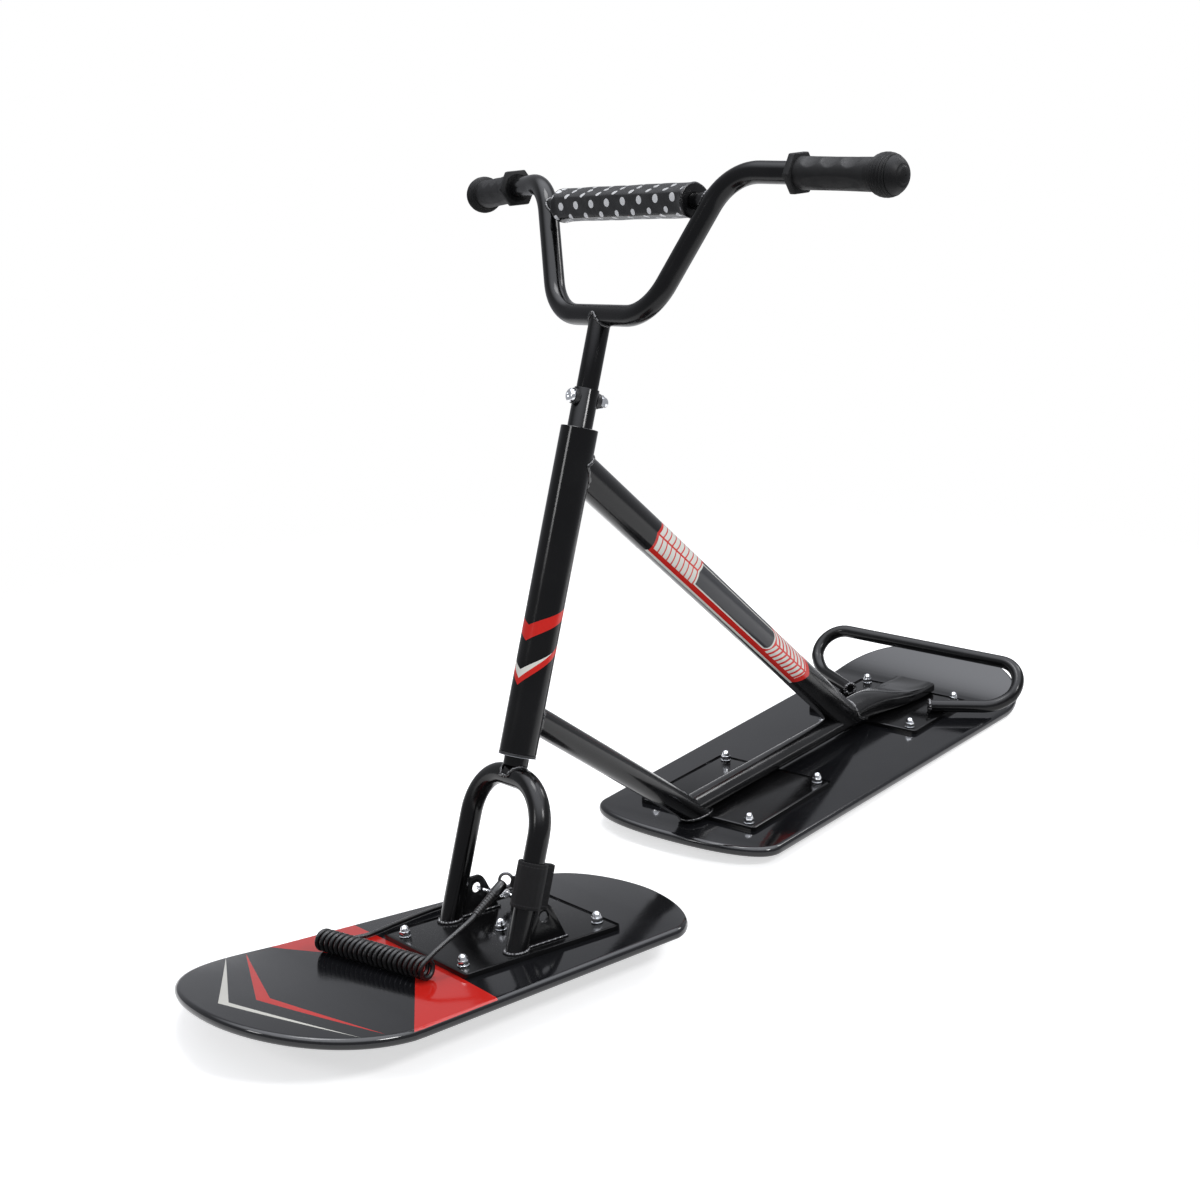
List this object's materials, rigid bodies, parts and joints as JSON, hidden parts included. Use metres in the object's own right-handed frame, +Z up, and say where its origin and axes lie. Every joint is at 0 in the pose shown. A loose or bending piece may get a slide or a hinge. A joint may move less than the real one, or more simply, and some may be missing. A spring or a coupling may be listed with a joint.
{
  "type": "snow scooter",
  "caption": "Snow scooter: a long rear board to stand on, a raked tubular frame, and a short front ski turned by a handlebar, with a coiled leash.",
  "frame": {"origin": "middle of the bounding box on the ground the scooter stands on", "axes": "+X towards the tip of the front ski along the rear board, +Y to the rider's left, +Z up"},
  "size_m": [1.3342, 0.6818, 0.8115],
  "materials": {
    "black_paint": "gloss black enamel on steel tube and plate",
    "lacquered_board": "laminated board under a glossy dark printed sheet",
    "bright_steel": "bright zinc and chrome plated steel",
    "nylon": "black moulded nylon",
    "grip_rubber": "black moulded rubber grips",
    "cord_rubber": "black moulded coil cord",
    "webbing": "black woven cuff with a hook-and-loop flap",
    "pad_cloth": "black cloth cover with white dots over foam"
  },
  "bodies": {
    "chassis": {"rear_board": "lacquered_board", "front_base_plate": "black_paint", "rear_base_plate": "black_paint", "deck_screw_1": "bright_steel", "deck_screw_2": "bright_steel", "deck_screw_3": "bright_steel", "deck_screw_4": "bright_steel", "deck_screw_5": "bright_steel", "deck_screw_6": "bright_steel", "deck_screw_7": "bright_steel", "deck_screw_8": "bright_steel", "beam": "black_paint", "top_tube": "black_paint", "lower_tube": "black_paint", "tail_hoop": "black_paint", "head_tube": "black_paint", "upper_steering_bush": "nylon", "lower_steering_bush": "nylon"},
    "steering": {"front_ski": "lacquered_board", "ski_base_plate": "black_paint", "ski_screw_1": "bright_steel", "ski_screw_2": "bright_steel", "ski_screw_3": "bright_steel", "ski_screw_4": "bright_steel", "ski_screw_5": "bright_steel", "fork": "black_paint", "steerer_tube": "black_paint", "left_gusset": "black_paint", "right_gusset": "black_paint", "crown_race": "bright_steel", "retaining_ring": "bright_steel", "handlebar": "black_paint", "stem_tube": "black_paint", "crossbar": "black_paint", "crossbar_pad": "pad_cloth", "left_grip": "grip_rubber", "right_grip": "grip_rubber", "front_saddle_washer": "nylon", "rear_saddle_washer": "nylon", "stem_bolt": "bright_steel", "stem_acorn_nut": "bright_steel", "leash_cuff": "webbing", "leash_ring": "bright_steel", "leash_upper_moulding": "cord_rubber", "leash_upper_cord": "cord_rubber", "leash_coil": "cord_rubber", "leash_lower_cord": "cord_rubber", "leash_lower_moulding": "cord_rubber", "hook_swivel": "bright_steel", "snap_hook": "bright_steel"},
    "gate": {"hook_gate": "bright_steel"}
  },
  "joints": [
    {"name": "steering", "type": "hinge", "parent": "chassis", "child": "steering", "pos_m": [0.29288, -0.0151, 0.21064], "axis": [-0.3492, 0, 0.937], "range_deg": [-24, 66]},
    {"name": "hook_gate_hinge", "type": "hinge", "parent": "steering", "child": "gate", "pos_m": [0.28389, -0.04616, 0.04297], "axis": [0.4344, -0.0356, -0.9], "range_deg": [0, 18], "stiffness_Nm_per_rad": 0.01, "springref_deg": -8.59}
  ]
}
